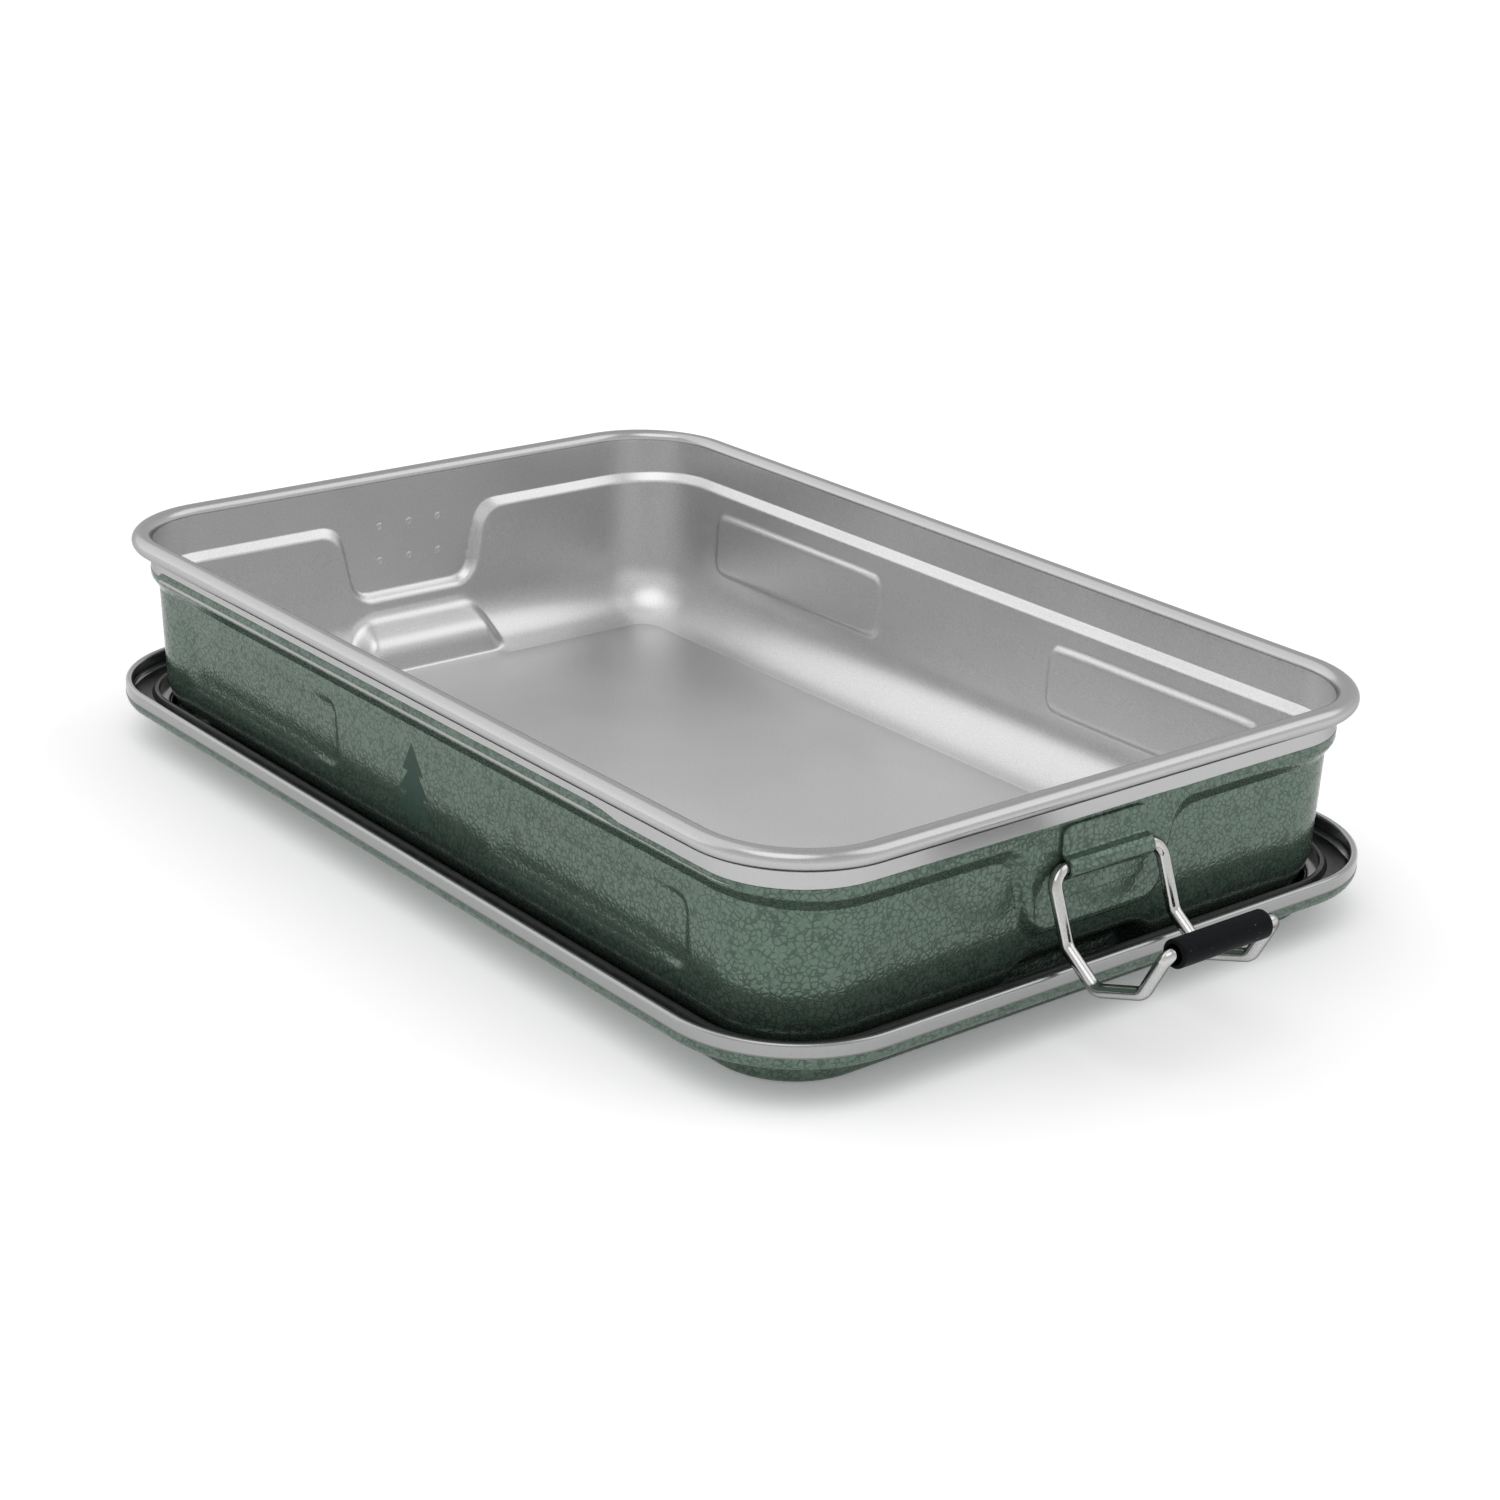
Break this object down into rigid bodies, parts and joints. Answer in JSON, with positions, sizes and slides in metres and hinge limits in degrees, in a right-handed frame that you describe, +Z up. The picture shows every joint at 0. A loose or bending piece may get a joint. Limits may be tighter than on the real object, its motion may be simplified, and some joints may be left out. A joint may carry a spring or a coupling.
{
  "type": "latching steel food box",
  "caption": "Shallow rectangular steel food box with a rolled rim and wire bail latches, standing in its own upturned lid.",
  "frame": {"origin": "centre of the object at the surface it stands on, under the upturned lid", "axes": "+X along the long side, through both latches; +Y along the short side; +Z up, out of the box's mouth"},
  "size_m": [0.2756, 0.1512, 0.0431],
  "materials": {
    "box_steel": "satin deep-drawn stainless steel",
    "wire_steel": "bright drawn stainless wire",
    "hammertone_green": "green hammertone enamel on steel",
    "lid_enamel": "green hammertone enamel outside, bare satin steel inside and on the hem",
    "grip_silicone": "matt black silicone",
    "gasket_silicone": "matt black silicone"
  },
  "bodies": {
    "lid": {"lid_shell": "lid_enamel", "lid_gasket": "gasket_silicone"},
    "box": {"box_shell": "box_steel", "hinge_plate_right": "hammertone_green", "hinge_plate_left": "hammertone_green", "spot_welds_right": "box_steel", "spot_welds_left": "box_steel"},
    "bail_right": {"bail_wire_right": "wire_steel", "grip_sleeve_right": "grip_silicone"},
    "bail_left": {"bail_wire_left": "wire_steel", "grip_sleeve_left": "grip_silicone"}
  },
  "joints": [
    {"name": "box_lift", "type": "slide", "parent": "lid", "child": "box", "axis": [0, 0, 1], "range_m": [0, 0.12]},
    {"name": "bail_right_hinge", "type": "hinge", "parent": "box", "child": "bail_right", "pos_m": [0.10875, 0, 0.028], "axis": [0, -1, 0], "range_deg": [0, 133]},
    {"name": "bail_left_hinge", "type": "hinge", "parent": "box", "child": "bail_left", "pos_m": [-0.10875, 0, 0.028], "axis": [0, 1, 0], "range_deg": [0, 133]}
  ]
}
